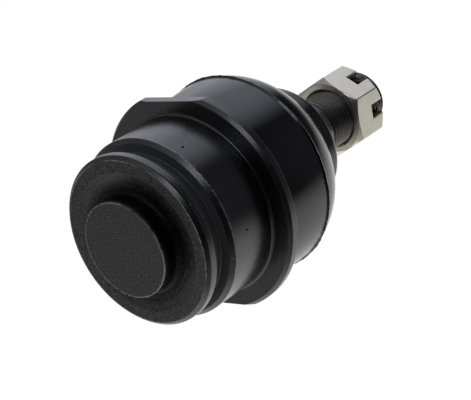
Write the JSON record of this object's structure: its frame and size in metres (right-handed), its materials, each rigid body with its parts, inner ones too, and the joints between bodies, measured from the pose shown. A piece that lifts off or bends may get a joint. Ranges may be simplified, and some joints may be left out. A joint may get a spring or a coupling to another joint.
{
  "type": "suspension ball joint",
  "caption": "Press-in suspension ball joint: grooved barrel with a two-flat flange, domed rubber boot and a swinging tapered, threaded stud with a slotted nut.",
  "frame": {"origin": "centre of the boss face on the closed end, which the joint stands on", "axes": "+Z along the joint's axis from the closed end to the stud, +X square to one of the two flats on the flange"},
  "size_m": [0.0568, 0.0606, 0.105],
  "materials": {
    "black_forging": "satin black coat over a turned forging",
    "spring_steel": "blued spring steel",
    "ring_steel": "plain pressed steel",
    "seat_plastic": "natural acetal",
    "stud_steel": "hardened steel with rolled thread, lightly oiled",
    "boot_rubber": "smooth moulded black rubber",
    "zinc_plate": "pale zinc plating"
  },
  "bodies": {
    "joint_body": {"housing": "black_forging", "preload_spring": "spring_steel", "pressure_plate": "ring_steel", "upper_ball_seat": "seat_plastic", "closing_ring": "ring_steel", "boot_base_ring": "ring_steel", "dust_boot": "boot_rubber"},
    "lower_seat": {"lower_ball_seat": "seat_plastic"},
    "boot_collar": {"boot_neck_ring": "ring_steel"},
    "stud": {"ball_stud": "stud_steel"},
    "nut": {"slotted_nut": "zinc_plate"}
  },
  "joints": [
    {"name": "swing_direction", "type": "hinge", "parent": "joint_body", "child": "lower_seat", "pos_m": [0, 0, 0.02715], "axis": [0, 0, 1], "continuous": true},
    {"name": "swing", "type": "hinge", "parent": "lower_seat", "child": "boot_collar", "pos_m": [0, 0, 0.02715], "axis": [1, 0, 0], "range_deg": [-22, 22], "deforming": ["dust_boot"]},
    {"name": "stud_spin", "type": "hinge", "parent": "boot_collar", "child": "stud", "pos_m": [0, 0, 0.02715], "axis": [0, 0, 1], "continuous": true},
    {"name": "nut_turn", "type": "hinge", "parent": "stud", "child": "nut", "pos_m": [0, 0, 0.0949], "axis": [0, 0, 1], "continuous": true}
  ]
}
